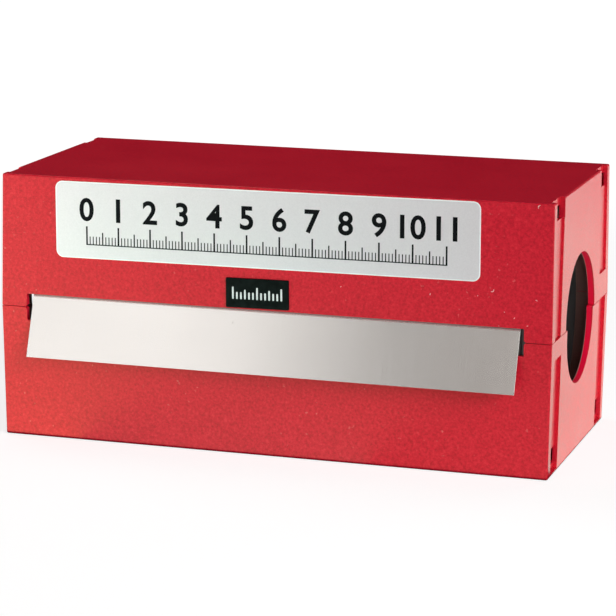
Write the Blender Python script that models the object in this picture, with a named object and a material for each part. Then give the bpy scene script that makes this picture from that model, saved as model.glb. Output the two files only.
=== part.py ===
"""A coil of plain steel shim foil in its two-piece moulded dispenser box.

Metres, +Z up. X runs along the box, -Y is the front face with the slot, and
the origin is the middle of the underside. Two like half shells close on each
other at mid height: the lower one is the upper one turned half a turn about Y,
but for a thin ledge that closes two of its grooves at the underside.
The foil is one continuous strip, wound to a coil that fills the box and drawn
out through the slot.
"""

import math

import bmesh
import bpy
from mathutils import Matrix, Vector

MM = 0.001

# ---- the box -------------------------------------------------------------
BOX_LENGTH = 169.0 * MM  # X, at the parting plane, where the box is widest
BOX_DEPTH = 75.5 * MM  # Y, at the parting plane
BOX_HEIGHT = 80.0 * MM
WALL = 2.0 * MM
# how far each side wall leans in from the parting to the top or base
FRONT_DRAFT = 0.8 * MM
WIDE_DRAFT = 0.15 * MM  # the end with the wide half opening
NARROW_DRAFT = 0.75 * MM
INNER_DRAFT = 0.5 * MM
PARTING_GAP = 0.3 * MM
OUTER_ROUND = 0.55 * MM
POST_THICK = 3.6 * MM  # end wall beside the corners, where the grooves are
POST_WIDTH = 13.0 * MM

# ---- slot for the foil, half of it in each shell -------------------------
SLOT_RISE = 4.0 * MM
SLOT_HALF = 76.3 * MM
SLOT_CHAMFER_X = 1.1 * MM  # over both shells, so half of it on each
SLOT_CHAMFER_Z = 0.6 * MM

# ---- openings in the end walls: each shell has a wide and a narrow one ---
HOLE_Y = -0.9 * MM
WIDE_HOLE_RADIUS = 19.1 * MM
WIDE_HOLE_Z = 0.6 * MM  # centre, from the parting plane
NARROW_HOLE_RADIUS = 17.2 * MM
NARROW_HOLE_Z = 2.05 * MM
HOLE_SIDES = 64

# ---- grooves down the end walls, beside the proud middle panel -----------
EDGE_STRIP = 3.9 * MM  # strip left at the front and back corners
WIDE_PANEL_TOP = 14.1 * MM  # front edge of the panel, from the front face
WIDE_PANEL_LOW = 10.8 * MM
WIDE_PANEL_BACK = 12.7 * MM  # back edge of the panel, from the back face
NARROW_PANEL = 12.5 * MM
WIDE_GROOVE = 0.75 * MM
NARROW_GROOVE = 1.0 * MM
WIDE_BACK_START = 8.0 * MM  # where the short grooves begin, from the parting
NARROW_FRONT_START = 5.6 * MM
WIDE_NOTCH = 1.6 * MM  # the deep ends of the grooves
WIDE_NOTCH_TALL = 5.9 * MM
NARROW_NOTCH = 1.2 * MM
NARROW_NOTCH_TALL = 7.5 * MM
WINDOW_TOP = 2.4 * MM  # under this much of the top plate the notch is open
WINDOW_TALL = 3.4 * MM
FRONT_RELIEF = 1.9 * MM  # wall left round the windows, which are relieved from inside
BACK_RELIEF = 1.25 * MM
NARROW_RELIEF = 1.5 * MM
BASE_LEDGE = 0.8 * MM  # closes the narrow end's grooves at the underside

# ---- the foil ------------------------------------------------------------
FOIL_WIDTH = 150.0 * MM
FOIL_THICK = 0.1 * MM
FOIL_LENGTH = 2500.0 * MM
FOIL_SHIFT = -0.05 * MM  # it sits a little to the left in the slot
COIL_RADIUS = 35.4 * MM
COIL_STEPS = 72
FOIL_LEAVES_AT = 20  # degrees above the coil's foremost line
FREE_END = 25.7 * MM  # straight run from the coil to the cut edge
FLOOR_GAP = 0.3 * MM

# ---- label and thickness tag on the front of the upper shell -------------
STICK_GAP = 0.05 * MM
LABEL_SIZE = (129.7 * MM, 22.9 * MM)
LABEL_ROUND = 2.2 * MM
LABEL_THICK = 0.2 * MM
LABEL_AT = (-1.6 * MM, 27.75 * MM)  # x, and height above the parting
LABEL_TURN = math.radians(0.38)
TAG_SIZE = (19.35 * MM, 8.8 * MM)
TAG_ROUND = 0.35 * MM
TAG_THICK = 0.45 * MM
TAG_AT = (-3.25 * MM, 8.85 * MM)
TAG_TURN = math.radians(0.8)

PARTING_Z = BOX_HEIGHT / 2
HALF_X = BOX_LENGTH / 2
HALF_Y = BOX_DEPTH / 2
RISE = BOX_HEIGHT / 2
FRONT = -HALF_Y
BACK = HALF_Y


def clear_scene():
    for obj in list(bpy.data.objects):
        bpy.data.objects.remove(obj, do_unlink=True)


def material(name, colour, roughness, metallic=0.0):
    mat = bpy.data.materials.new(name)
    mat.use_nodes = True
    bsdf = mat.node_tree.nodes["Principled BSDF"]
    bsdf.inputs["Base Color"].default_value = (*colour, 1.0)
    bsdf.inputs["Roughness"].default_value = roughness
    bsdf.inputs["Metallic"].default_value = metallic
    return mat


def new_object(name, bm, parent=None, mat=None):
    bmesh.ops.recalc_face_normals(bm, faces=bm.faces)
    mesh = bpy.data.meshes.new(name)
    bm.to_mesh(mesh)
    bm.free()
    obj = bpy.data.objects.new(name, mesh)
    bpy.context.scene.collection.objects.link(obj)
    obj.parent = parent
    if mat:
        mesh.materials.append(mat)
    return obj


def as_cutter(obj):
    obj.hide_render = True
    obj.display_type = "WIRE"
    return obj


def tapered_block(low, high, half_low, half_high):
    """A block from z low to z high, with its own reach in -X, +X and Y at each end."""
    bm = bmesh.new()
    rings = []
    for z, (left, right, hy) in ((low, half_low), (high, half_high)):
        rings.append(
            [
                bm.verts.new((right if sx > 0 else -left, sy * hy, z))
                for sx, sy in ((-1, -1), (1, -1), (1, 1), (-1, 1))
            ]
        )
    bm.faces.new(rings[0][::-1])
    bm.faces.new(rings[1])
    for i in range(4):
        j = (i + 1) % 4
        bm.faces.new((rings[0][i], rings[0][j], rings[1][j], rings[1][i]))
    return bm


def drafted(half, z, draft, inset=0.0):
    """The half size of a drafted side wall at height z above the parting."""
    return half - inset - draft * z / RISE


def end_face(side, z):
    """The half length at height z: the wide end is at +X, the narrow one at -X."""
    return drafted(HALF_X, z, WIDE_DRAFT if side > 0 else NARROW_DRAFT)


def outer_block():
    low, high = PARTING_GAP / 2, RISE
    bm = tapered_block(
        low,
        high,
        (end_face(-1, low), end_face(1, low), drafted(HALF_Y, low, FRONT_DRAFT)),
        (end_face(-1, high), end_face(1, high), drafted(HALF_Y, high, FRONT_DRAFT)),
    )
    edges = [e for e in bm.edges if max(v.co.z for v in e.verts) > RISE / 2]
    bmesh.ops.bevel(
        bm, geom=edges, offset=OUTER_ROUND, segments=3, profile=0.5, affect="EDGES"
    )
    return bm


def hollow_block(inset_x, half_y):
    low, high = -2 * MM, RISE - WALL
    reach = [
        (
            drafted(HALF_X, z, INNER_DRAFT, inset_x),
            drafted(HALF_X, z, INNER_DRAFT, inset_x),
            drafted(half_y, z, INNER_DRAFT),
        )
        for z in (low, high)
    ]
    return tapered_block(low, high, *reach)


def end_prism(outline, side, depth, inside=None):
    """A cutter on an end wall: outline is (y, z) points, cut depth in from the drafted face.

    With inside, it lies behind the face instead: from that depth in to the cut's own depth.
    """
    bm = bmesh.new()
    near = [
        bm.verts.new((side * (end_face(side, z) - depth), y, z)) for y, z in outline
    ]
    far = [
        bm.verts.new(
            (
                side * (HALF_X + 5 * MM if inside is None else end_face(side, z) - inside),
                y,
                z,
            )
        )
        for y, z in outline
    ]
    bm.faces.new(near)
    bm.faces.new(far[::-1])
    for i in range(len(outline)):
        j = (i + 1) % len(outline)
        bm.faces.new((near[i], near[j], far[j], far[i]))
    return bm


def front_prism(outline, back_y):
    """A cutter through the front wall: outline is (x, z) points."""
    bm = bmesh.new()
    near = [bm.verts.new((x, FRONT - 5 * MM, z)) for x, z in outline]
    far = [bm.verts.new((x, back_y, z)) for x, z in outline]
    bm.faces.new(near)
    bm.faces.new(far[::-1])
    for i in range(len(outline)):
        j = (i + 1) % len(outline)
        bm.faces.new((near[i], near[j], far[j], far[i]))
    return bm


def arch(radius, centre_z, low):
    """The outline of an end opening: an arc over straight sides that run down past the parting."""
    start = math.asin(max(-1.0, min(1.0, (-centre_z) / radius))) if centre_z < 0 else 0.0
    points = [
        (
            HOLE_Y + radius * math.cos(a),
            centre_z + radius * math.sin(a),
        )
        for a in (
            start + (math.pi - 2 * start) * i / (HOLE_SIDES // 2)
            for i in range(HOLE_SIDES // 2 + 1)
        )
    ]
    return points + [(points[-1][0], low), (points[0][0], low)]


def rect(y0, y1, z0, z1):
    return [(y0, z0), (y1, z0), (y1, z1), (y0, z1)]


def shell_cutters(ledge):
    """The cutters of one shell. With ledge, the narrow end's grooves stop short of the outside."""
    low, past = -3 * MM, RISE + 3 * MM
    groove_end = RISE - BASE_LEDGE if ledge else past
    strip_front, strip_back = FRONT + EDGE_STRIP, BACK - EDGE_STRIP
    # the wide-hole end, at +X on the upper shell
    yield "hollow", hollow_block(POST_THICK, HALF_Y - WALL)
    yield "hollow_ends", hollow_block(WALL, HALF_Y - POST_WIDTH)
    yield (
        "slot",
        front_prism(
            [
                (-SLOT_HALF - SLOT_CHAMFER_X, low),
                (SLOT_HALF + SLOT_CHAMFER_X, low),
                (SLOT_HALF + SLOT_CHAMFER_X, -SLOT_CHAMFER_Z),
                (SLOT_HALF, SLOT_CHAMFER_Z),
                (SLOT_HALF, SLOT_RISE),
                (-SLOT_HALF, SLOT_RISE),
                (-SLOT_HALF, SLOT_CHAMFER_Z),
                (-SLOT_HALF - SLOT_CHAMFER_X, -SLOT_CHAMFER_Z),
            ],
            FRONT + WALL + 2 * MM,
        ),
    )
    yield "wide_hole", end_prism(arch(WIDE_HOLE_RADIUS, WIDE_HOLE_Z, low), 1, 8 * MM)
    yield (
        "narrow_hole",
        end_prism(arch(NARROW_HOLE_RADIUS, NARROW_HOLE_Z, low), -1, 8 * MM),
    )
    wide_front = [
        (strip_front, low),
        (FRONT + WIDE_PANEL_LOW, low),
        (FRONT + WIDE_PANEL_LOW, -0.5 * MM),
        (FRONT + WIDE_PANEL_TOP, RISE),
        (FRONT + WIDE_PANEL_TOP, past),
        (strip_front, past),
    ]
    wide_back = rect(BACK - WIDE_PANEL_BACK, strip_back, WIDE_BACK_START, past)
    yield "wide_front_groove", end_prism(wide_front, 1, WIDE_GROOVE)
    yield "wide_back_groove", end_prism(wide_back, 1, WIDE_GROOVE)
    notch = RISE - WIDE_NOTCH_TALL
    window = (RISE - WINDOW_TOP - WINDOW_TALL, RISE - WINDOW_TOP)
    for where, y0, y1, relief, behind in (
        (
            "front",
            strip_front,
            FRONT + WIDE_PANEL_TOP,
            FRONT_RELIEF,
            (FRONT + 2.9 * MM, FRONT + 17 * MM),
        ),
        (
            "back",
            BACK - WIDE_PANEL_BACK,
            strip_back,
            BACK_RELIEF,
            (BACK - 16 * MM, BACK - 2.9 * MM),
        ),
    ):
        yield (
            f"wide_{where}_notch",
            end_prism(rect(y0, y1, notch, past), 1, WIDE_NOTCH),
        )
        yield (
            f"wide_{where}_window",
            end_prism(rect(y0 + 0.2 * MM, y1 - 0.2 * MM, *window), 1, 6 * MM),
        )
        yield (
            f"wide_{where}_relief",
            end_prism(rect(*behind, window[0] - 0.8 * MM, window[1]), 1, 6.2 * MM, relief),
        )
    # the narrow-hole end, at -X on the upper shell
    for where, y0, y1, start, behind in (
        (
            "front",
            strip_front,
            FRONT + NARROW_PANEL,
            NARROW_FRONT_START,
            (FRONT + 2.9 * MM, FRONT + 17 * MM),
        ),
        (
            "back",
            BACK - NARROW_PANEL,
            strip_back,
            low,
            (BACK - 16 * MM, BACK - 2.9 * MM),
        ),
    ):
        yield (
            f"narrow_{where}_groove",
            end_prism(rect(y0, y1, start, groove_end), -1, NARROW_GROOVE),
        )
        yield (
            f"narrow_{where}_notch",
            end_prism(
                rect(y0, y1, RISE - NARROW_NOTCH_TALL, groove_end), -1, NARROW_NOTCH
            ),
        )
        sill = RISE - NARROW_NOTCH_TALL + 0.4 * MM
        yield (
            f"narrow_{where}_window",
            end_prism(
                rect(y0 + 0.2 * MM, y1 - 0.2 * MM, sill, RISE - WINDOW_TOP), -1, 6 * MM
            ),
        )
        yield (
            f"narrow_{where}_relief",
            end_prism(
                rect(*behind, sill - 0.8 * MM, RISE - WINDOW_TOP),
                -1,
                6.2 * MM,
                NARROW_RELIEF,
            ),
        )


def make_shell(name, half_turn, mat):
    """One half shell, open towards the parting plane, on an empty that carries it and its cutters."""
    frame = bpy.data.objects.new(name + "_frame", None)
    bpy.context.scene.collection.objects.link(frame)
    frame.location = (0, 0, PARTING_Z)
    frame.rotation_euler = (0, math.pi if half_turn else 0, 0)
    shell = new_object(name, outer_block(), frame, mat)
    for what, bm in shell_cutters(ledge=half_turn):
        cutter = as_cutter(new_object(f"{name}_cut_{what}", bm, frame))
        cut = shell.modifiers.new(what, "BOOLEAN")
        cut.operation = "DIFFERENCE"
        cut.solver = "EXACT"
        cut.object = cutter
    return shell


def make_foil(mat):
    """The coil as one turned ring whose metal is the whole strip, with its free end drawn off it."""
    tail = FREE_END * FOIL_THICK
    section = FOIL_LENGTH * FOIL_THICK - tail
    bore = math.sqrt(COIL_RADIUS**2 - section / math.pi)
    centre = Vector((0.0, WALL + FLOOR_GAP + COIL_RADIUS))

    def at(radius, degrees):
        a = math.radians(degrees)
        return centre + radius * Vector((-math.cos(a), math.sin(a)))

    leave = FOIL_LEAVES_AT
    step = 360 / COIL_STEPS
    angles = [leave - step * i for i in range(COIL_STEPS)]
    outer = [at(COIL_RADIUS, a) for a in angles]
    inner = [at(bore, a) for a in angles]
    down = Vector(
        (-math.sin(math.radians(leave)), -math.cos(math.radians(leave)))
    )
    inward = (centre - outer[0]).normalized()
    tip_out = outer[0] + down * FREE_END
    tip_in = tip_out + inward * FOIL_THICK
    # where the strip's inner face meets the first facet of the coil
    facet = outer[1] - outer[0]
    rise = facet.dot(inward)
    joint = outer[0] + facet * (FOIL_THICK / rise)

    bm = bmesh.new()

    def vert(p):
        return bm.verts.new((FOIL_SHIFT - FOIL_WIDTH / 2, p.x, p.y))

    outer_v = [vert(p) for p in outer]
    inner_v = [vert(p) for p in inner]
    joint_v, out_v, in_v = vert(joint), vert(tip_out), vert(tip_in)
    faces = [bm.faces.new((outer_v[0], out_v, in_v, joint_v))]
    faces.append(
        bm.faces.new((outer_v[0], joint_v, outer_v[1], inner_v[1], inner_v[0]))
    )
    for i in range(1, COIL_STEPS):
        j = (i + 1) % COIL_STEPS
        faces.append(bm.faces.new((outer_v[i], outer_v[j], inner_v[j], inner_v[i])))
    made = bmesh.ops.extrude_face_region(bm, geom=faces, use_keep_orig=True)
    moved = [g for g in made["geom"] if isinstance(g, bmesh.types.BMVert)]
    bmesh.ops.translate(bm, verts=moved, vec=(FOIL_WIDTH, 0, 0))
    foil = new_object("foil_roll", bm, None, mat)
    foil.data.shade_smooth()
    foil.data.set_sharp_from_angle(angle=math.radians(30))
    return foil


def make_plate(name, size, corner, thick, at, turn, mat):
    """A thin plate with round corners, lying on the drafted front of the upper shell."""
    bm = bmesh.new()
    half_w, half_h = size[0] / 2, size[1] / 2
    outline = []
    for sx, sz, first in ((1, 1, 0), (-1, 1, 90), (-1, -1, 180), (1, -1, 270)):
        for i in range(7):
            a = math.radians(first + 15 * i)
            outline.append(
                bm.verts.new(
                    (
                        sx * (half_w - corner) + corner * math.cos(a),
                        0.0,
                        sz * (half_h - corner) + corner * math.sin(a),
                    )
                )
            )
    face = bm.faces.new(outline)
    made = bmesh.ops.extrude_face_region(bm, geom=[face], use_keep_orig=True)
    moved = [g for g in made["geom"] if isinstance(g, bmesh.types.BMVert)]
    bmesh.ops.translate(bm, verts=moved, vec=(0, -thick, 0))
    lean = Matrix.Rotation(-math.atan2(FRONT_DRAFT, RISE), 4, "X")
    place = (
        Matrix.Translation(
            (
                at[0],
                -drafted(HALF_Y, at[1], FRONT_DRAFT) - STICK_GAP,
                PARTING_Z + at[1],
            )
        )
        @ lean
        @ Matrix.Rotation(-turn, 4, "Y")
    )
    plate = new_object(name, bm, None, mat)
    plate.matrix_world = place
    return plate


def main():
    clear_scene()
    red = material("red_plastic", (0.62, 0.022, 0.040), 0.42)
    steel = material("rolled_steel", (0.62, 0.61, 0.60), 0.30, 1.0)
    silver = material("silver_label", (0.66, 0.66, 0.66), 0.45, 0.2)
    black = material("black_tag", (0.012, 0.014, 0.014), 0.35)
    make_shell("upper_shell", False, red)
    make_shell("lower_shell", True, red)
    make_foil(steel)
    make_plate(
        "front_label",
        LABEL_SIZE,
        LABEL_ROUND,
        LABEL_THICK,
        LABEL_AT,
        LABEL_TURN,
        silver,
    )
    make_plate(
        "thickness_tag", TAG_SIZE, TAG_ROUND, TAG_THICK, TAG_AT, TAG_TURN, black
    )
    bpy.context.view_layer.update()


main()
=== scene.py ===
import math
import random

import bmesh
import bpy
from mathutils import Matrix, Vector


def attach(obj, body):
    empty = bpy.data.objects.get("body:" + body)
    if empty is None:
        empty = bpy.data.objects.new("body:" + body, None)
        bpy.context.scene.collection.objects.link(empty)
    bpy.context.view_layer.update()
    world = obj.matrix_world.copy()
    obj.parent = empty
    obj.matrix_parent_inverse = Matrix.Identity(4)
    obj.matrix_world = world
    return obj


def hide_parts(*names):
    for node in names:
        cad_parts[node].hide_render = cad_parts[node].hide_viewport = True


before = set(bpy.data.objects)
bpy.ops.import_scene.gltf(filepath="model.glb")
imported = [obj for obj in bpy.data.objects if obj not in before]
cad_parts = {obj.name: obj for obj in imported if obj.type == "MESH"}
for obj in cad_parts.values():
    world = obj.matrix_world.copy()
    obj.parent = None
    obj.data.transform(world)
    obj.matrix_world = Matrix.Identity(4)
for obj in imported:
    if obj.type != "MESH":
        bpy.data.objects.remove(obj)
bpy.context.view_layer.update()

MM = 0.001

# ---- the box: the same construction as the frame's shells, with finer curves ----
BOX_LENGTH = 169.0 * MM
BOX_DEPTH = 75.5 * MM
BOX_HEIGHT = 80.0 * MM
WALL = 2.0 * MM
FRONT_DRAFT = 0.8 * MM
WIDE_DRAFT = 0.15 * MM
NARROW_DRAFT = 0.75 * MM
INNER_DRAFT = 0.5 * MM
PARTING_GAP = 0.14 * MM  # the frame's shells keep 0.3 mm
OUTER_ROUND = 0.55 * MM
POST_THICK = 3.6 * MM
POST_WIDTH = 13.0 * MM
SLOT_RISE = 4.0 * MM
SLOT_HALF = 76.3 * MM
SLOT_CHAMFER_X = 1.1 * MM
SLOT_CHAMFER_Z = 0.6 * MM
HOLE_Y = -0.9 * MM
WIDE_HOLE_RADIUS = 19.1 * MM
WIDE_HOLE_Z = 0.6 * MM
NARROW_HOLE_RADIUS = 17.2 * MM
NARROW_HOLE_Z = 2.05 * MM
HOLE_SIDES = 192
EDGE_STRIP = 3.9 * MM
WIDE_PANEL_TOP = 14.1 * MM
WIDE_PANEL_LOW = 10.8 * MM
WIDE_PANEL_BACK = 12.7 * MM
NARROW_PANEL = 12.5 * MM
WIDE_GROOVE = 0.75 * MM
NARROW_GROOVE = 1.0 * MM
WIDE_BACK_START = 8.0 * MM
NARROW_FRONT_START = 5.6 * MM
WIDE_NOTCH = 1.6 * MM
WIDE_NOTCH_TALL = 5.9 * MM
NARROW_NOTCH = 1.2 * MM
NARROW_NOTCH_TALL = 7.5 * MM
WINDOW_TOP = 2.4 * MM
WINDOW_TALL = 3.5 * MM
FRONT_RELIEF = 1.9 * MM
BACK_RELIEF = 1.25 * MM
NARROW_RELIEF = 1.5 * MM
BASE_LEDGE = 0.8 * MM
SHARP_ROUND = 0.12 * MM  # what moulding leaves on the other edges

# ---- the foil ----
FOIL_WIDTH = 149.7 * MM
FOIL_THICK = 0.1 * MM
FOIL_LENGTH = 2500.0 * MM
FOIL_SHIFT = -0.05 * MM
COIL_RADIUS = 35.4 * MM
COIL_PITCH = 0.118 * MM  # a little air between the turns
FOIL_LEAVES_AT = math.radians(20)
FREE_END = 25.7 * MM
FLOOR_GAP = 0.3 * MM

# ---- label and tag ----
LABEL_SIZE = (129.7 * MM, 22.9 * MM)
LABEL_ROUND = 2.2 * MM
LABEL_THICK = 0.16 * MM
LABEL_AT = (-1.6 * MM, 27.75 * MM)
LABEL_TURN = math.radians(0.38)
TAG_SIZE = (19.35 * MM, 8.8 * MM)
TAG_ROUND = 0.35 * MM
TAG_THICK = 0.40 * MM
TAG_AT = (-3.25 * MM, 8.85 * MM)
TAG_TURN = math.radians(0.8)

# ---- the plain ruler scale on the label ----
SCALE_CM = 11
SCALE_FOOT = -7.4 * MM
SCALE_LINE = 0.32 * MM
NUMERAL_TALL = 7.0 * MM
NUMERAL_WEIGHT = 0.022
NUMERAL_GAP = 1.5 * MM

# ---- crumbs and fibres of dust: x, height over the parting, length, angle, bend, radius in mm ----
DUST = (
    (79.94, 39.1, 1.15, 62, 0.5, 0.16),
    (66.9, 14.5, 1.10, 38, -0.6, 0.13),
    (48.8, 12.2, 0.55, 75, 0.3, 0.12),
    (22.1, 12.6, 0.40, 20, 0.2, 0.10),
    (79.7, 12.4, 0.55, -30, 0.4, 0.11),
    (62.7, 12.7, 0.30, 80, 0.1, 0.09),
    (73.4, 7.0, 0.45, 50, -0.5, 0.09),
    (77.3, 4.9, 0.38, 10, 0.5, 0.09),
    (70.5, 8.5, 0.35, -55, 0.3, 0.08),
)

PARTING_Z = BOX_HEIGHT / 2
HALF_X = BOX_LENGTH / 2
HALF_Y = BOX_DEPTH / 2
RISE = BOX_HEIGHT / 2
FRONT = -HALF_Y
BACK = HALF_Y


# ======================================================================
# node helpers
# ======================================================================
class Nodes:
    """A small wrapper that places and links shader nodes."""

    def __init__(self, name):
        self.mat = bpy.data.materials.new(name)
        self.mat.use_nodes = True
        self.tree = self.mat.node_tree
        self.tree.nodes.clear()
        self.count = 0

    def add(self, kind, **settings):
        node = self.tree.nodes.new(kind)
        node.location = (220 * (self.count % 8), -260 * (self.count // 8))
        self.count += 1
        for key, value in settings.items():
            setattr(node, key, value)
        return node

    def link(self, a, b):
        self.tree.links.new(a, b)

    def set(self, socket, value):
        """A number, a colour or another node's output, put on a socket."""
        if isinstance(value, bpy.types.NodeSocket):
            self.link(value, socket)
        elif isinstance(value, (tuple, list)):
            socket.default_value = value
        else:
            socket.default_value = value

    def place(self):
        return self.add("ShaderNodeTexCoord").outputs["Object"]

    def scaled(self, vector, x, y, z):
        node = self.add("ShaderNodeMapping")
        self.set(node.inputs["Vector"], vector)
        node.inputs["Scale"].default_value = (x, y, z)
        return node.outputs["Vector"]

    def noise(self, vector, scale, detail=2.0, roughness=0.5, distortion=0.0):
        node = self.add("ShaderNodeTexNoise")
        self.set(node.inputs["Vector"], vector)
        node.inputs["Scale"].default_value = scale
        node.inputs["Detail"].default_value = detail
        node.inputs["Roughness"].default_value = roughness
        node.inputs["Distortion"].default_value = distortion
        return node.outputs["Fac"]

    def math(self, what, a, b=None, c=None, clamp=False):
        node = self.add("ShaderNodeMath", operation=what, use_clamp=clamp)
        for socket, value in zip(node.inputs, (a, b, c)):
            if value is not None:
                self.set(socket, value)
        return node.outputs[0]

    def span(self, value, low, high, to_low=0.0, to_high=1.0, smooth=False):
        node = self.add("ShaderNodeMapRange")
        if smooth:
            node.interpolation_type = "SMOOTHSTEP"
        self.set(node.inputs["Value"], value)
        node.inputs["From Min"].default_value = low
        node.inputs["From Max"].default_value = high
        node.inputs["To Min"].default_value = to_low
        node.inputs["To Max"].default_value = to_high
        return node.outputs["Result"]

    def mix(self, fac, a, b, blend="MIX"):
        node = self.add("ShaderNodeMix", data_type="RGBA", blend_type=blend)
        self.set(node.inputs["Factor"], fac)
        self.set(node.inputs[6], a)
        self.set(node.inputs[7], b)
        return node.outputs[2]

    def bump(self, height, strength, distance, normal=None):
        node = self.add("ShaderNodeBump")
        self.set(node.inputs["Height"], height)
        node.inputs["Strength"].default_value = strength
        node.inputs["Distance"].default_value = distance
        if normal is not None:
            self.link(normal, node.inputs["Normal"])
        return node.outputs["Normal"]

    def surface(self, **sockets):
        shader = self.add("ShaderNodeBsdfPrincipled")
        for name, value in sockets.items():
            self.set(shader.inputs[name.replace("_", " ")], value)
        out = self.add("ShaderNodeOutputMaterial")
        self.link(shader.outputs["BSDF"], out.inputs["Surface"])
        return self.mat


def colour(r, g, b):
    return (r, g, b, 1.0)


# ======================================================================
# materials
# ======================================================================
def red_plastic():
    """Injection-moulded red plastic with a fine spark-eroded grain, slightly worn and dusty."""
    n = Nodes("red_plastic")
    at = n.place()
    grain = n.noise(at, 1150.0, 4.0, 0.70)
    coarse = n.noise(at, 520.0, 2.0, 0.6)
    fine = n.noise(at, 3600.0, 2.0, 0.5)
    cloud = n.noise(at, 38.0, 3.0, 0.55)
    base = n.mix(
        n.span(cloud, 0.3, 0.7),
        colour(0.640, 0.0080, 0.0315),
        colour(0.685, 0.0095, 0.0345),
    )
    # the grain's pits are darker and its tips paler
    base = n.mix(n.span(grain, 0.50, 0.30, 0.0, 0.66), base, colour(0.38, 0.003, 0.016))
    base = n.mix(n.span(grain, 0.52, 0.72, 0.0, 0.75), base, colour(0.80, 0.030, 0.055))
    base = n.mix(n.span(coarse, 0.45, 0.30, 0.0, 0.22), base, colour(0.45, 0.004, 0.020))
    # dust caught in the grain: fine pale specks, thicker in some places than in others
    speck = n.noise(at, 950.0, 1.0, 0.4)
    where = n.span(n.noise(at, 55.0, 2.0, 0.6), 0.42, 0.68, 0.03, 1.0, smooth=True)
    dust = n.math("MULTIPLY", n.span(speck, 0.71, 0.80, 0.0, 0.38), where)
    base = n.mix(dust, base, colour(0.80, 0.28, 0.25))
    # painted shade: inside, the walls are painted a dull grey-brown in place of red, standing in for the
    # shaded, near-black look of the interior through the end openings
    place = n.add("ShaderNodeSeparateXYZ")
    n.link(at, place.inputs[0])
    inside = n.math("LESS_THAN", n.math("ABSOLUTE", place.outputs["X"]), 82.55 * MM)
    for axis, middle, reach in (("Y", 0.0, 35.9 * MM), ("Z", PARTING_Z, 31.5 * MM)):
        off = n.math("ABSOLUTE", n.math("SUBTRACT", place.outputs[axis], middle))
        inside = n.math("MULTIPLY", inside, n.math("LESS_THAN", off, reach))
    base = n.mix(n.math("MULTIPLY", inside, 0.93), base, colour(0.44, 0.27, 0.24))
    # light comes through the thin wall, which shows as a purer red on the end openings' rims
    along = n.math("ABSOLUTE", place.outputs["X"])
    across = n.math("SUBTRACT", place.outputs["Y"], HOLE_Y)
    up = n.math("SUBTRACT", place.outputs["Z"], PARTING_Z)
    away = n.math(
        "SQRT",
        n.math("ADD", n.math("MULTIPLY", across, across), n.math("MULTIPLY", up, up)),
    )
    rim = n.math(
        "MULTIPLY",
        n.math("LESS_THAN", away, WIDE_HOLE_RADIUS + 1.2 * MM),
        n.math(
            "MULTIPLY",
            n.math("GREATER_THAN", along, 82.55 * MM),
            n.math("LESS_THAN", along, 84.1 * MM),
        ),
    )
    base = n.mix(rim, base, colour(0.96, 0.004, 0.050))
    rough = n.math(
        "ADD",
        n.span(grain, 0.3, 0.7, 0.31, 0.39),
        n.span(cloud, 0.3, 0.7, -0.02, 0.03),
    )
    height = n.math("ADD", n.math("MULTIPLY", grain, 0.7), n.math("MULTIPLY", fine, 0.3))
    normal = n.bump(height, 0.5, 0.00022)
    return n.surface(
        Base_Color=base,
        Roughness=rough,
        Specular_IOR_Level=0.33,
        Specular_Tint=colour(1.0, 1.0, 0.55),
        Normal=normal,
    )


def rolled_steel():
    """Bright cold-rolled strip: fine rolling lines along the strip and a satin sheen."""
    n = Nodes("rolled_steel")
    at = n.place()
    lines = n.noise(n.scaled(at, 3800.0, 60.0, 60.0), 1.0, 3.0, 0.6)
    cloud = n.noise(at, 30.0, 3.0, 0.5)
    mottle = n.noise(at, 1300.0, 3.0, 0.6)
    base = n.mix(
        n.span(lines, 0.3, 0.7),
        colour(0.642, 0.624, 0.610),
        colour(0.668, 0.656, 0.646),
    )
    base = n.mix(n.span(mottle, 0.35, 0.75, 0.0, 0.10), base, colour(0.57, 0.555, 0.545))
    # a few pin-point stains
    stain = n.noise(at, 420.0, 1.0, 0.3)
    base = n.mix(n.span(stain, 0.825, 0.85, 0.0, 0.45), base, colour(0.20, 0.17, 0.15))
    # painted shade: inside the box the strip is painted nearly black, less metallic and rougher, and a
    # little less dark far in, standing in for the shade in the box
    depth = n.add("ShaderNodeSeparateXYZ")
    n.link(at, depth.inputs[0])
    painted_inside_shade = n.math(
        "SUBTRACT",
        n.span(depth.outputs["Y"], FRONT + 1.9 * MM, FRONT + 2.7 * MM, 0.0, 0.96),
        n.span(depth.outputs["Y"], FRONT + 5.0 * MM, FRONT + 12.0 * MM, 0.0, 0.12),
    )
    base = n.mix(painted_inside_shade, base, colour(0.050, 0.046, 0.044))
    rough = n.math(
        "ADD",
        n.span(lines, 0.25, 0.75, 0.215, 0.240),
        n.span(cloud, 0.35, 0.7, -0.008, 0.012),
    )
    height = n.math("ADD", n.math("MULTIPLY", lines, 0.6), n.math("MULTIPLY", mottle, 0.4))
    normal = n.bump(height, 0.10, 0.00002)
    return n.surface(
        Base_Color=base,
        Metallic=n.math("SUBTRACT", 1.0, painted_inside_shade),
        Roughness=n.math("ADD", rough, n.math("MULTIPLY", painted_inside_shade, 0.25)),
        Specular_IOR_Level=0.15,
        Normal=normal,
    )


def silver_film():
    """Silver-grey satin label film with a very fine metallic flake."""
    n = Nodes("silver_film")
    at = n.place()
    flake = n.noise(at, 2400.0, 3.0, 0.65)
    cloud = n.noise(at, 70.0, 3.0, 0.55)
    base = n.mix(
        n.span(flake, 0.3, 0.7),
        colour(0.790, 0.728, 0.752),
        colour(0.845, 0.782, 0.806),
    )
    base = n.mix(n.span(cloud, 0.35, 0.7, 0.0, 0.10), base, colour(0.80, 0.80, 0.80))
    rough = n.math("ADD", n.span(flake, 0.3, 0.7, 0.40, 0.46), n.span(cloud, 0.3, 0.7, -0.01, 0.01))
    normal = n.bump(flake, 0.05, 0.00005)
    return n.surface(Base_Color=base, Metallic=0.30, Roughness=rough, Normal=normal)


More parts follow.
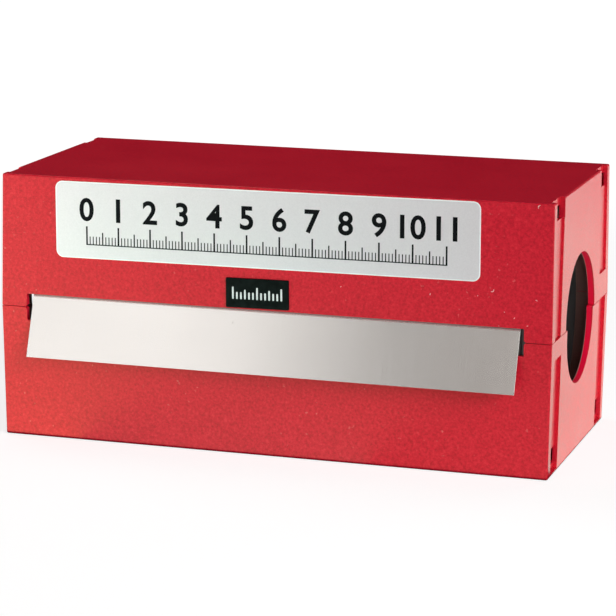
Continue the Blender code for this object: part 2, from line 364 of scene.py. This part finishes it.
def white_margin():
    """The unprinted white edge of the label film."""
    n = Nodes("white_margin")
    at = n.place()
    fibre = n.noise(at, 2600.0, 2.0, 0.5)
    base = n.mix(n.span(fibre, 0.3, 0.7), colour(0.955, 0.955, 0.95), colour(0.98, 0.98, 0.98))
    return n.surface(Base_Color=base, Roughness=0.40)


def printing_ink():
    """Dense black ink, matt, a little uneven."""
    n = Nodes("printing_ink")
    at = n.place()
    cover = n.noise(at, 1800.0, 3.0, 0.6)
    base = n.mix(n.span(cover, 0.3, 0.7), colour(0.003, 0.003, 0.004), colour(0.007, 0.007, 0.008))
    return n.surface(
        Base_Color=base,
        Roughness=n.span(cover, 0.3, 0.7, 0.50, 0.62),
        Specular_IOR_Level=0.06,
    )


def black_tape():
    """Black embossing tape: smooth vinyl, matt with handling."""
    n = Nodes("black_tape")
    at = n.place()
    wear = n.noise(at, 420.0, 4.0, 0.6)
    fine = n.noise(at, 3000.0, 2.0, 0.5)
    base = n.mix(n.span(wear, 0.35, 0.7), colour(0.003, 0.005, 0.004), colour(0.008, 0.012, 0.011))
    normal = n.bump(fine, 0.08, 0.00003)
    return n.surface(
        Base_Color=base,
        Roughness=n.span(wear, 0.3, 0.7, 0.40, 0.50),
        Specular_IOR_Level=0.05,
        Normal=normal,
    )


def pale_dust():
    """Lint and crumbs, a little tinted by the plastic under them."""
    n = Nodes("pale_dust")
    at = n.place()
    patch = n.noise(at, 3000.0, 2.0, 0.5)
    base = n.mix(n.span(patch, 0.3, 0.7), colour(0.74, 0.36, 0.33), colour(0.86, 0.60, 0.56))
    return n.surface(Base_Color=base, Roughness=0.8)


def stress_white():
    """The whitened vinyl of an embossed mark."""
    n = Nodes("stress_white")
    at = n.place()
    patch = n.noise(at, 2600.0, 3.0, 0.6)
    base = n.mix(n.span(patch, 0.3, 0.7), colour(0.72, 0.73, 0.72), colour(0.88, 0.88, 0.87))
    return n.surface(Base_Color=base, Roughness=0.45)


# ======================================================================
# mesh helpers
# ======================================================================
def linked(name, mesh, mats=()):
    obj = bpy.data.objects.new(name, mesh)
    bpy.context.scene.collection.objects.link(obj)
    for mat in mats:
        mesh.materials.append(mat)
    return obj


def mesh_of(name, bm):
    bmesh.ops.recalc_face_normals(bm, faces=bm.faces)
    mesh = bpy.data.meshes.new(name)
    bm.to_mesh(mesh)
    bm.free()
    return mesh


def evaluated(obj):
    """A new mesh with the object's modifiers in it."""
    graph = bpy.context.evaluated_depsgraph_get()
    graph.update()
    return bpy.data.meshes.new_from_object(obj.evaluated_get(graph), depsgraph=graph)


def discard(obj):
    mesh = obj.data
    bpy.data.objects.remove(obj, do_unlink=True)
    if mesh and mesh.users == 0:
        bpy.data.meshes.remove(mesh)


def cut_by(name, bm, cutters):
    """The Boolean difference of a bmesh and some cutters, as a mesh."""
    body = linked(name, mesh_of(name, bm))
    tools = []
    for what, cutter in cutters:
        tool = linked(f"{name}_cut_{what}", mesh_of(what, cutter))
        tools.append(tool)
        cut = body.modifiers.new(what, "BOOLEAN")
        cut.operation = "DIFFERENCE"
        cut.solver = "EXACT"
        cut.object = tool
    mesh = evaluated(body)
    for obj in (body, *tools):
        discard(obj)
    return mesh


def rounded(name, mesh, width, segments, degrees=28):
    """The mesh with its sharp edges rounded."""
    obj = linked(name, mesh)
    bevel = obj.modifiers.new("round", "BEVEL")
    bevel.limit_method = "ANGLE"
    bevel.angle_limit = math.radians(degrees)
    bevel.width = width
    bevel.segments = segments
    bevel.use_clamp_overlap = True
    bevel.miter_outer = "MITER_ARC"
    bevel.harden_normals = False
    made = evaluated(obj)
    discard(obj)
    return made


def smooth_by_area(obj, degrees=40):
    obj.data.shade_smooth()
    obj.data.set_sharp_from_angle(angle=math.radians(degrees))
    weighted = obj.modifiers.new("weighted_normals", "WEIGHTED_NORMAL")
    weighted.mode = "FACE_AREA"
    weighted.weight = 60
    weighted.keep_sharp = True


# ======================================================================
# the shells
# ======================================================================
def drafted(half, z, draft, inset=0.0):
    return half - inset - draft * z / RISE


def end_face(side, z):
    """The half length at height z over the parting: the wide end is at +X."""
    return drafted(HALF_X, z, WIDE_DRAFT if side > 0 else NARROW_DRAFT)


def front_face(z):
    return -drafted(HALF_Y, z, FRONT_DRAFT)


def tapered_block(low, high, half_low, half_high):
    bm = bmesh.new()
    rings = []
    for z, (left, right, hy) in ((low, half_low), (high, half_high)):
        rings.append(
            [
                bm.verts.new((right if sx > 0 else -left, sy * hy, z))
                for sx, sy in ((-1, -1), (1, -1), (1, 1), (-1, 1))
            ]
        )
    bm.faces.new(rings[0][::-1])
    bm.faces.new(rings[1])
    for i in range(4):
        j = (i + 1) % 4
        bm.faces.new((rings[0][i], rings[0][j], rings[1][j], rings[1][i]))
    return bm


def outer_block():
    low, high = PARTING_GAP / 2, RISE
    bm = tapered_block(
        low,
        high,
        (end_face(-1, low), end_face(1, low), -front_face(low)),
        (end_face(-1, high), end_face(1, high), -front_face(high)),
    )
    edges = [e for e in bm.edges if max(v.co.z for v in e.verts) > RISE / 2]
    bmesh.ops.bevel(
        bm, geom=edges, offset=OUTER_ROUND, segments=5, profile=0.5, affect="EDGES"
    )
    return bm


def hollow_block(inset_x, half_y):
    low, high = -2 * MM, RISE - WALL
    reach = [
        (
            drafted(HALF_X, z, INNER_DRAFT, inset_x),
            drafted(HALF_X, z, INNER_DRAFT, inset_x),
            drafted(half_y, z, INNER_DRAFT),
        )
        for z in (low, high)
    ]
    return tapered_block(low, high, *reach)


def prism(near, far):
    bm = bmesh.new()
    near = [bm.verts.new(p) for p in near]
    far = [bm.verts.new(p) for p in far]
    bm.faces.new(near)
    bm.faces.new(far[::-1])
    for i in range(len(near)):
        j = (i + 1) % len(near)
        bm.faces.new((near[i], near[j], far[j], far[i]))
    return bm


def end_prism(outline, side, depth, inside=None):
    """A cutter on an end wall, cut depth in from its face, or from the depth inside to it."""
    return prism(
        [(side * (end_face(side, z) - depth), y, z) for y, z in outline],
        [
            (
                side * (HALF_X + 5 * MM if inside is None else end_face(side, z) - inside),
                y,
                z,
            )
            for y, z in outline
        ],
    )


def front_prism(outline, back_y):
    return prism(
        [(x, FRONT - 5 * MM, z) for x, z in outline],
        [(x, back_y, z) for x, z in outline],
    )


def arch(radius, centre_z, low):
    start = math.asin(max(-1.0, min(1.0, (-centre_z) / radius))) if centre_z < 0 else 0.0
    half = HOLE_SIDES // 2
    points = []
    for i in range(half + 1):
        a = start + (math.pi - 2 * start) * i / half
        points.append((HOLE_Y + radius * math.cos(a), centre_z + radius * math.sin(a)))
    return points + [(points[-1][0], low), (points[0][0], low)]


def rect(y0, y1, z0, z1):
    return [(y0, z0), (y1, z0), (y1, z1), (y0, z1)]


def shell_cutters(ledge):
    """The cutters of one shell. With ledge, the narrow end's grooves stop short of the outside."""
    low, past = -3 * MM, RISE + 3 * MM
    groove_end = RISE - BASE_LEDGE if ledge else past
    strip_front, strip_back = FRONT + EDGE_STRIP, BACK - EDGE_STRIP
    yield "hollow", hollow_block(POST_THICK, HALF_Y - WALL)
    yield "hollow_ends", hollow_block(WALL, HALF_Y - POST_WIDTH)
    yield (
        "slot",
        front_prism(
            [
                (-SLOT_HALF - SLOT_CHAMFER_X, low),
                (SLOT_HALF + SLOT_CHAMFER_X, low),
                (SLOT_HALF + SLOT_CHAMFER_X, -SLOT_CHAMFER_Z),
                (SLOT_HALF, SLOT_CHAMFER_Z),
                (SLOT_HALF, SLOT_RISE),
                (-SLOT_HALF, SLOT_RISE),
                (-SLOT_HALF, SLOT_CHAMFER_Z),
                (-SLOT_HALF - SLOT_CHAMFER_X, -SLOT_CHAMFER_Z),
            ],
            FRONT + WALL + 2 * MM,
        ),
    )
    yield "wide_hole", end_prism(arch(WIDE_HOLE_RADIUS, WIDE_HOLE_Z, low), 1, 8 * MM)
    yield (
        "narrow_hole",
        end_prism(arch(NARROW_HOLE_RADIUS, NARROW_HOLE_Z, low), -1, 8 * MM),
    )
    yield (
        "wide_front_groove",
        end_prism(
            [
                (strip_front, low),
                (FRONT + WIDE_PANEL_LOW, low),
                (FRONT + WIDE_PANEL_LOW, -0.5 * MM),
                (FRONT + WIDE_PANEL_TOP, RISE),
                (FRONT + WIDE_PANEL_TOP, past),
                (strip_front, past),
            ],
            1,
            WIDE_GROOVE,
        ),
    )
    yield (
        "wide_back_groove",
        end_prism(
            rect(BACK - WIDE_PANEL_BACK, strip_back, WIDE_BACK_START, past),
            1,
            WIDE_GROOVE,
        ),
    )
    notch = RISE - WIDE_NOTCH_TALL
    window = (RISE - WINDOW_TOP - WINDOW_TALL, RISE - WINDOW_TOP)
    for where, y0, y1, relief, behind in (
        (
            "front",
            strip_front,
            FRONT + WIDE_PANEL_TOP,
            FRONT_RELIEF,
            (FRONT + 2.9 * MM, FRONT + 17 * MM),
        ),
        (
            "back",
            BACK - WIDE_PANEL_BACK,
            strip_back,
            BACK_RELIEF,
            (BACK - 16 * MM, BACK - 2.9 * MM),
        ),
    ):
        yield (
            f"wide_{where}_notch",
            end_prism(rect(y0, y1, notch, past), 1, WIDE_NOTCH),
        )
        yield (
            f"wide_{where}_window",
            end_prism(rect(y0, y1, *window), 1, 6 * MM),
        )
        yield (
            f"wide_{where}_relief",
            end_prism(rect(*behind, window[0] - 0.8 * MM, window[1]), 1, 6.2 * MM, relief),
        )
    for where, y0, y1, start, behind in (
        (
            "front",
            strip_front,
            FRONT + NARROW_PANEL,
            NARROW_FRONT_START,
            (FRONT + 2.9 * MM, FRONT + 17 * MM),
        ),
        (
            "back",
            BACK - NARROW_PANEL,
            strip_back,
            low,
            (BACK - 16 * MM, BACK - 2.9 * MM),
        ),
    ):
        yield (
            f"narrow_{where}_groove",
            end_prism(
                rect(y0, y1, start, RISE - NARROW_NOTCH_TALL), -1, NARROW_GROOVE
            ),
        )
        yield (
            f"narrow_{where}_notch",
            end_prism(
                rect(y0, y1, RISE - NARROW_NOTCH_TALL, groove_end), -1, NARROW_NOTCH
            ),
        )
        sill = RISE - NARROW_NOTCH_TALL + 0.4 * MM
        yield (
            f"narrow_{where}_window",
            end_prism(rect(y0 + 0.4 * MM, y1, sill, RISE - WINDOW_TOP), -1, 6 * MM),
        )
        yield (
            f"narrow_{where}_relief",
            end_prism(
                rect(*behind, sill - 0.8 * MM, RISE - WINDOW_TOP - 0.4 * MM),
                -1,
                6.2 * MM,
                NARROW_RELIEF,
            ),
        )


def make_shells(mat):
    """The lower shell is the upper one's moulding turned about Y, with a ledge at the underside."""
    up = Matrix.Translation((0, 0, PARTING_Z))
    shells = []
    for node, place, ledge in (
        ("upper_shell", up, False),
        ("lower_shell", up @ Matrix.Rotation(math.pi, 4, "Y"), True),
    ):
        own = cut_by(node + "_cut", outer_block(), shell_cutters(ledge))
        own = rounded(node + "_rounded", own, SHARP_ROUND, 2)
        own.transform(place)
        obj = linked(node + "_moulding", own, [mat])
        smooth_by_area(obj)
        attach(obj, "root")
        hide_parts(node)
        shells.append(obj)
    return shells


# ======================================================================
# the foil
# ======================================================================
def make_foil(mat):
    """One strip, wound to a coil from the inside out and drawn off through the slot."""
    centre_z = WALL + FLOOR_GAP + COIL_RADIUS
    wound = FOIL_LENGTH - FREE_END
    # centre line of the strip: radius falls by one pitch in each turn going in
    outer = COIL_RADIUS - FOIL_THICK / 2
    per_turn = 144
    points = []  # (y, z, normal y, normal z, length from the free end)
    run = 0.0
    steps_free = 24
    leave = FOIL_LEAVES_AT
    out = Vector((-math.cos(leave), math.sin(leave)))  # (y, z)
    along = Vector((-math.sin(leave), -math.cos(leave)))
    start = Vector((0.0, centre_z)) + out * outer
    for i in range(steps_free):
        s = FREE_END * (1 - i / steps_free)
        p = start + along * s
        points.append((p, out, FREE_END - s))
    angle, radius, run = leave, outer, FREE_END
    # the coil goes on from the leaving point up and over the back
    step = 2 * math.pi / per_turn
    while run < FOIL_LENGTH:
        d = Vector((-math.cos(angle), math.sin(angle)))
        points.append((Vector((0.0, centre_z)) + d * radius, d, run))
        angle += step
        radius -= COIL_PITCH / per_turn
        run += radius * step
    rng = random.Random(7)
    waves = [(rng.uniform(0.2, 3.2), rng.uniform(0, 6.28), rng.uniform(0.3, 1.0)) for _ in range(7)]

    def sideways(s):
        """How far a turn has wandered along X: nothing at the free end."""
        t = s / FOIL_LENGTH
        fade = min(1.0, max(0.0, (s - 0.12) / 0.3))
        return fade * 0.14 * MM * sum(
            w * math.sin(2 * math.pi * f * 6 * t + p) for f, p, w in waves
        )

    lip = 0.22 * MM  # the slit edges roll over a little
    lip_rise = 0.03 * MM
    across = [
        (-1, 0.0, lip_rise),
        (-1, lip * 0.5, lip_rise * 0.45),
        (-1, lip, 0.0),
        (1, lip, 0.0),
        (1, lip * 0.5, lip_rise * 0.45),
        (1, 0.0, lip_rise),
    ]
    bm = bmesh.new()
    rings = []
    for p, d, s in points:
        shift = FOIL_SHIFT + sideways(s)
        rise_here = 1.0 if s < FREE_END else 0.0
        ring = []
        for face in (1, -1):
            row = []
            for side, inset, rise in across:
                x = shift + side * (FOIL_WIDTH / 2 - inset)
                q = p + d * (face * FOIL_THICK / 2 + rise * rise_here * 0.5)
                row.append(bm.verts.new((x, q.x, q.y)))
            ring.extend(row if face == 1 else row[::-1])
        rings.append(ring)
    for a, b in zip(rings, rings[1:]):
        for i in range(len(a)):
            j = (i + 1) % len(a)
            bm.faces.new((a[i], a[j], b[j], b[i]))
    for ring in (rings[0], rings[-1]):
        n = len(ring)
        for i in range(n // 2 - 1):
            bm.faces.new((ring[i], ring[i + 1], ring[n - 2 - i], ring[n - 1 - i]))
    obj = linked("shim_foil_coil", mesh_of("shim_foil_coil", bm), [mat])
    smooth_by_area(obj, 35)
    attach(obj, "root")
    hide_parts("foil_roll")
    return obj


# ======================================================================
# label, tag and what is printed on them
# ======================================================================
def on_front(at, turn, off=0.0):
    """The place of a thing lying on the drafted front of the upper shell: its local -Y faces out."""
    lean = Matrix.Rotation(-math.atan2(FRONT_DRAFT, RISE), 4, "X")
    return (
        Matrix.Translation((at[0], front_face(at[1]) - off, PARTING_Z + at[1]))
        @ lean
        @ Matrix.Rotation(-turn, 4, "Y")
    )


def round_outline(half_w, half_h, corner, steps=8):
    points = []
    for sx, sz, first in ((1, 1, 0), (-1, 1, 90), (-1, -1, 180), (1, -1, 270)):
        for i in range(steps + 1):
            a = math.radians(first + 90 * i / steps)
            points.append(
                (
                    sx * (half_w - corner) + corner * math.cos(a),
                    sz * (half_h - corner) + corner * math.sin(a),
                )
            )
    return points


def add_plate(bm, centre, size, corner, thick, rings):
    """A plate with round corners and a rounded rim. rings are (inset, depth from the face, material)."""
    made = []
    for inset, depth, _ in rings:
        outline = round_outline(
            size[0] / 2 - inset, size[1] / 2 - inset, max(corner - inset, 0.05 * MM)
        )
        made.append(
            [
                bm.verts.new((x + centre[0], depth - thick, z + centre[1]))
                for x, z in outline
            ]
        )
    for (a, b), (_, _, slot) in zip(zip(made, made[1:]), rings[1:]):
        for i in range(len(a)):
            j = (i + 1) % len(a)
            bm.faces.new((a[i], a[j], b[j], b[i])).material_index = slot
    bm.faces.new(made[-1]).material_index = rings[-1][2]
    bm.faces.new(made[0][::-1]).material_index = rings[1][2]


def plate_mesh(name, size, corner, thick, rings):
    bm = bmesh.new()
    add_plate(bm, (0.0, 0.0), size, corner, thick, rings)
    return mesh_of(name, bm)


def add_raised(bm, quads, low_y, high_y):
    """Flat quads (x, z) that share corners, made into one closed slab from low_y to high_y."""
    corners = {}

    def corner(x, z, y):
        key = (round(x * 1e8), round(z * 1e8), round(y * 1e8))
        if key not in corners:
            corners[key] = bm.verts.new((x, y, z))
        return corners[key]

    sides = {}
    for quad in quads:
        bm.faces.new([corner(x, z, low_y) for x, z in quad])
        bm.faces.new([corner(x, z, high_y) for x, z in quad][::-1])
        for a, b in zip(quad, quad[1:] + quad[:1]):
            key = tuple(sorted((tuple(round(v * 1e8) for v in a), tuple(round(v * 1e8) for v in b))))
            sides.setdefault(key, []).append((a, b))
    for pairs in sides.values():
        if len(pairs) == 1:
            a, b = pairs[0]
            bm.faces.new(
                (
                    corner(*a, low_y),
                    corner(*a, high_y),
                    corner(*b, high_y),
                    corner(*b, low_y),
                )
            )


def add_numeral(bm, text, tall, weight, centre_x, foot_z, low_y, high_y):
    """A plain numeral as a thin closed slab that faces -Y."""
    curve = bpy.data.curves.new("numeral", "FONT")
    curve.body = text
    curve.size = 1.0
    curve.extrude = 0.05
    curve.offset = weight
    curve.resolution_u = 5
    obj = bpy.data.objects.new("numeral", curve)
    bpy.context.scene.collection.objects.link(obj)
    mesh = evaluated(obj)
    bpy.data.objects.remove(obj, do_unlink=True)
    bpy.data.curves.remove(curve)
    own = bmesh.new()
    own.from_mesh(mesh)
    bpy.data.meshes.remove(mesh)
    bmesh.ops.remove_doubles(own, verts=own.verts, dist=1e-4)
    xs = [v.co.x for v in own.verts]
    ys = [v.co.y for v in own.verts]
    k = tall / (max(ys) - min(ys))
    mid = (max(xs) + min(xs)) / 2
    made = {}
    for v in own.verts:
        y = low_y if v.co.z > 0 else high_y
        made[v] = bm.verts.new(
            (centre_x + (v.co.x - mid) * k, y, foot_z + (v.co.y - min(ys)) * k)
        )
    for face in own.faces:
        bm.faces.new([made[v] for v in face.verts])
    own.free()


def make_label(film, margin):
    t = LABEL_THICK
    rings = [
        (0.0, t, 1),
        (0.0, 0.06 * MM, 1),
        (0.015 * MM, 0.02 * MM, 1),
        (0.05 * MM, 0.0, 1),
        (0.34 * MM, 0.0, 1),
        (0.36 * MM, 0.0, 0),
    ]
    mesh = plate_mesh("front_label_film", LABEL_SIZE, LABEL_ROUND, t, rings)
    obj = linked("front_label_film", mesh, [film, margin])
    obj.matrix_world = on_front(LABEL_AT, LABEL_TURN, 0.01 * MM)
    obj.data.shade_smooth()
    obj.data.set_sharp_from_angle(angle=math.radians(50))
    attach(obj, "root")
    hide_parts("front_label")
    return obj


def make_tag(tape):
    t = TAG_THICK
    rings = [
        (0.0, t, 0),
        (0.0, 0.14 * MM, 0),
        (0.04 * MM, 0.05 * MM, 0),
        (0.13 * MM, 0.0, 0),
        (0.8 * MM, 0.0, 0),
    ]
    mesh = plate_mesh("thickness_tag_tape", TAG_SIZE, TAG_ROUND, t, rings)
    obj = linked("thickness_tag_tape", mesh, [tape])
    obj.matrix_world = on_front(TAG_AT, TAG_TURN, 0.01 * MM)
    obj.data.shade_smooth()
    obj.data.set_sharp_from_angle(angle=math.radians(50))
    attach(obj, "root")
    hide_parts("thickness_tag")
    return obj


def make_label_scale(ink):
    """A plain ruler scale printed on the label: a thin slab of ink on the film."""
    out, sunk = -LABEL_THICK - 0.014 * MM, -LABEL_THICK + 0.004 * MM
    count = SCALE_CM * 10
    left = -SCALE_CM * 10 * MM / 2
    foot = SCALE_FOOT
    line = SCALE_LINE
    quads = []
    last = None
    for i in range(count + 1):
        x = left + i * MM
        if i % 10 == 0:
            half, tall = 0.26 * MM, 5.6 * MM
        elif i % 5 == 0:
            half, tall = 0.20 * MM, 3.9 * MM
        else:
            half, tall = 0.15 * MM, 2.6 * MM
        if last is not None:
            quads.append([(last, foot), (x - half, foot), (x - half, foot + line), (last, foot + line)])
        quads.append([(x - half, foot), (x + half, foot), (x + half, foot + line), (x - half, foot + line)])
        quads.append([(x - half, foot + line), (x + half, foot + line), (x + half, foot + tall), (x - half, foot + tall)])
        last = x + half
    bm = bmesh.new()
    add_raised(bm, quads, out, sunk)
    for i in range(SCALE_CM + 1):
        add_numeral(
            bm,
            str(i),
            NUMERAL_TALL,
            NUMERAL_WEIGHT,
            left + i * 10 * MM,
            foot + 5.6 * MM + NUMERAL_GAP,
            out,
            sunk,
        )
    obj = linked("front_label_scale", mesh_of("front_label_scale", bm), [ink])
    obj.matrix_world = on_front(LABEL_AT, LABEL_TURN, 0.01 * MM)
    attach(obj, "root")
    return obj


def make_tag_marks(white):
    """Plain raised tick marks on the tag, whitened as embossed tape is."""
    bm = bmesh.new()
    thick = TAG_THICK + 0.12 * MM
    for i in range(13):
        tall = 3.6 * MM if i % 6 == 0 else (2.9 * MM if i % 3 == 0 else 2.1 * MM)
        add_plate(
            bm,
            ((i - 6) * 1.24 * MM, -1.8 * MM + tall / 2),
            (0.52 * MM, tall),
            0.22 * MM,
            thick,
            [
                (0.0, 0.18 * MM, 0),
                (0.0, 0.07 * MM, 0),
                (0.04 * MM, 0.02 * MM, 0),
                (0.10 * MM, 0.0, 0),
            ],
        )
    obj = linked("thickness_tag_marks", mesh_of("thickness_tag_marks", bm), [white])
    obj.matrix_world = on_front(TAG_AT, TAG_TURN, 0.01 * MM)
    obj.data.shade_smooth()
    obj.data.set_sharp_from_angle(angle=math.radians(55))
    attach(obj, "root")
    return obj


def add_fibre(bm, path, radius):
    """A closed thin tube through the points, thinner at its ends."""
    rings = []
    for i, point in enumerate(path):
        before, after = path[max(i - 1, 0)], path[min(i + 1, len(path) - 1)]
        along = (after - before).normalized()
        side = along.cross(Vector((0, 1, 0))).normalized()
        up = side.cross(along).normalized()
        t = i / (len(path) - 1)
        r = radius * (0.35 + 0.65 * math.sin(math.pi * (0.12 + 0.76 * t)))
        rings.append(
            [
                bm.verts.new(
                    point + side * (r * math.cos(a)) + up * (0.55 * r * math.sin(a))
                )
                for a in (math.radians(60 * k) for k in range(6))
            ]
        )
    for a, b in zip(rings, rings[1:]):
        for i in range(6):
            j = (i + 1) % 6
            bm.faces.new((a[i], a[j], b[j], b[i]))
    bm.faces.new(rings[0])
    bm.faces.new(rings[-1][::-1])


def make_dust(mat):
    """A few crumbs and fibres of dust lying on the front, where the box has them."""
    rng = random.Random(11)
    bm = bmesh.new()
    for x, z, length, angle, bend, radius in DUST:
        x, z, length, radius = x * MM, z * MM, length * MM, radius * MM
        face = front_face(z) - 0.3 * radius
        a = math.radians(angle)
        path = []
        for i in range(7):
            t = i / 6 - 0.5
            u, w = length * t, bend * length * (0.25 - t * t) * 2
            path.append(
                Vector(
                    (
                        x + u * math.cos(a) - w * math.sin(a),
                        face + rng.uniform(-0.1, 0.1) * radius,
                        PARTING_Z + z + u * math.sin(a) + w * math.cos(a),
                    )
                )
            )
        add_fibre(bm, path, radius)
    obj = linked("dust_fibres", mesh_of("dust_fibres", bm), [mat])
    obj.data.shade_smooth()
    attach(obj, "root")
    return obj


# ======================================================================
# stage
# ======================================================================
def make_floor():
    """A plain pale floor, faintly luminous like a light table and brighter away from the object."""
    bm = bmesh.new()
    size = 6.0
    corners = ((-1, -1), (1, -1), (1, 1), (-1, 1))
    bm.faces.new([bm.verts.new((x * size, y * size, -0.0001)) for x, y in corners])
    n = Nodes("pale_floor")
    away = n.add("ShaderNodeVectorMath", operation="LENGTH")
    n.link(n.place(), away.inputs[0])
    glow = n.add("ShaderNodeEmission")
    glow.inputs["Color"].default_value = colour(1.0, 1.0, 1.0)
    n.set(
        glow.inputs["Strength"],
        n.span(away.outputs["Value"], 0.20, 0.70, 0.76, 1.0, smooth=True),
    )
    diffuse = n.add("ShaderNodeBsdfDiffuse")
    diffuse.inputs["Color"].default_value = colour(0.40, 0.40, 0.40)
    both = n.add("ShaderNodeAddShader")
    n.link(diffuse.outputs[0], both.inputs[0])
    n.link(glow.outputs[0], both.inputs[1])
    out = n.add("ShaderNodeOutputMaterial")
    n.link(both.outputs[0], out.inputs["Surface"])
    floor = linked("floor", mesh_of("floor", bm), [n.mat])
    # what the floor throws back onto the object comes from the cards in make_lights
    floor.visible_glossy = False
    floor.visible_diffuse = False
    return floor


def aim(obj, target):
    direction = Vector(target) - obj.location
    obj.rotation_mode = "QUATERNION"
    obj.rotation_quaternion = direction.to_track_quat("-Z", "Y")


def softbox(name, location, target, size, power, tint=(1, 1, 1)):
    data = bpy.data.lights.new(name, "AREA")
    data.shape = "RECTANGLE"
    data.size, data.size_y = size
    data.energy = power
    data.color = tint
    obj = bpy.data.objects.new(name, data)
    bpy.context.scene.collection.objects.link(obj)
    obj.location = location
    aim(obj, target)
    return obj


def around(azimuth, elevation, distance):
    """A place round the box: azimuth 0 is straight in front and 90 to the right."""
    a, e = math.radians(azimuth), math.radians(elevation)
    return (
        distance * math.sin(a) * math.cos(e),
        -distance * math.cos(a) * math.cos(e),
        0.04 + distance * math.sin(e),
    )


def floor_card(name, x_span, y_span, power, tint=(1, 1, 1)):
    """A card lying on the floor and facing up: what a white table throws back onto the object."""
    middle = (sum(x_span) / 2, sum(y_span) / 2, 0.0006)
    size = (x_span[1] - x_span[0], y_span[1] - y_span[0])
    card = softbox(name, middle, (middle[0], middle[1], 1.0), size, power, tint)
    card.rotation_mode = "XYZ"
    card.rotation_euler = (math.pi, 0.0, 0.0)
    card.visible_camera = False
    return card


def make_lights():
    world = bpy.data.worlds.new("studio")
    bpy.context.scene.world = world
    world.use_nodes = True
    background = world.node_tree.nodes["Background"]
    background.inputs["Color"].default_value = (1.0, 1.0, 1.0, 1.0)
    background.inputs["Strength"].default_value = 0.004
    middle = (0.0, 0.0, 0.04)
    warm = (1.0, 0.97, 0.94)
    softbox("key_front_left", around(-27, 26, 1.2), middle, (0.36, 0.45), 0.845, warm)
    softbox("key_wing", around(-4, 24, 1.2), middle, (0.25, 0.45), 0.345, (1.0, 0.92, 0.86))
    softbox("key_low", around(-21, 10, 1.2), middle, (0.12, 0.30), 0.387, (1.0, 0.98, 0.98))
    softbox("main_right", around(60, 30, 1.2), middle, (0.5, 0.5), 7.3)
    softbox("right_front", around(48, 21, 1.2), middle, (0.5, 0.5), 1.75)
    softbox("low_right_front", around(22, 8, 1.2), middle, (0.3, 0.15), 1.55)
    softbox("top_left", (-0.12, 0.06, 0.36), (-0.07, 0.0, 0.08), (0.15, 0.15), 0.175)
    softbox("back_left", around(-110, 35, 1.3), middle, (0.6, 0.6), 2.0)
    softbox("back_fill", around(150, 40, 1.3), middle, (0.7, 0.7), 1.5)
    near = -0.0372
    floor_card("card_left_near", (-0.20, -0.06), (-0.20, near), 0.159, (0.66, 1, 0.75))
    floor_card("card_left_far", (-0.45, -0.20), (-0.40, near), 1.90)
    floor_card("card_left_front", (-0.20, -0.06), (-0.45, -0.20), 0.119, (1, 0.77, 0.73))
    floor_card("card_middle", (-0.06, 0.03), (-0.20, near), 0.065, (0.62, 1, 0.92))
    floor_card("card_right", (0.03, 0.12), (-0.15, near), 0.025)
    floor_card("card_end_near", (0.0838, 0.30), (-0.03, 0.40), 0.522, (0.84, 1, 0.90))
    floor_card("card_end_far", (0.30, 0.95), (0.10, 1.50), 13.77)
    floor_card("card_end_back", (0.085, 0.60), (0.40, 1.40), 0.86)


def make_camera():
    data = bpy.data.cameras.new("camera")
    data.lens = 157.689
    data.sensor_width = 36.0
    data.clip_start, data.clip_end = 0.02, 50.0
    cam = bpy.data.objects.new("camera", data)
    bpy.context.scene.collection.objects.link(cam)
    right = Vector((0.9503981, 0.3110355, 0.0006435)).normalized()
    ahead = Vector((-0.3036315, 0.9282192, -0.2149815)).normalized()
    up = right.cross(ahead).normalized()
    right = ahead.cross(up).normalized()
    place = Matrix((right, up, -ahead)).transposed().to_4x4()
    place.translation = (0.24902, -0.76155, 0.21335)
    cam.matrix_world = place
    bpy.context.scene.camera = cam


def main():
    red = red_plastic()
    steel = rolled_steel()
    make_shells(red)
    make_foil(steel)
    make_label(silver_film(), white_margin())
    make_label_scale(printing_ink())
    make_tag(black_tape())
    make_tag_marks(stress_white())
    make_dust(pale_dust())
    make_floor()
    make_lights()
    make_camera()
    scene = bpy.context.scene
    scene.view_settings.view_transform = "Standard"
    scene.view_settings.look = "None"
    scene.view_settings.exposure = 0.0
    scene.view_settings.gamma = 1.0


main()
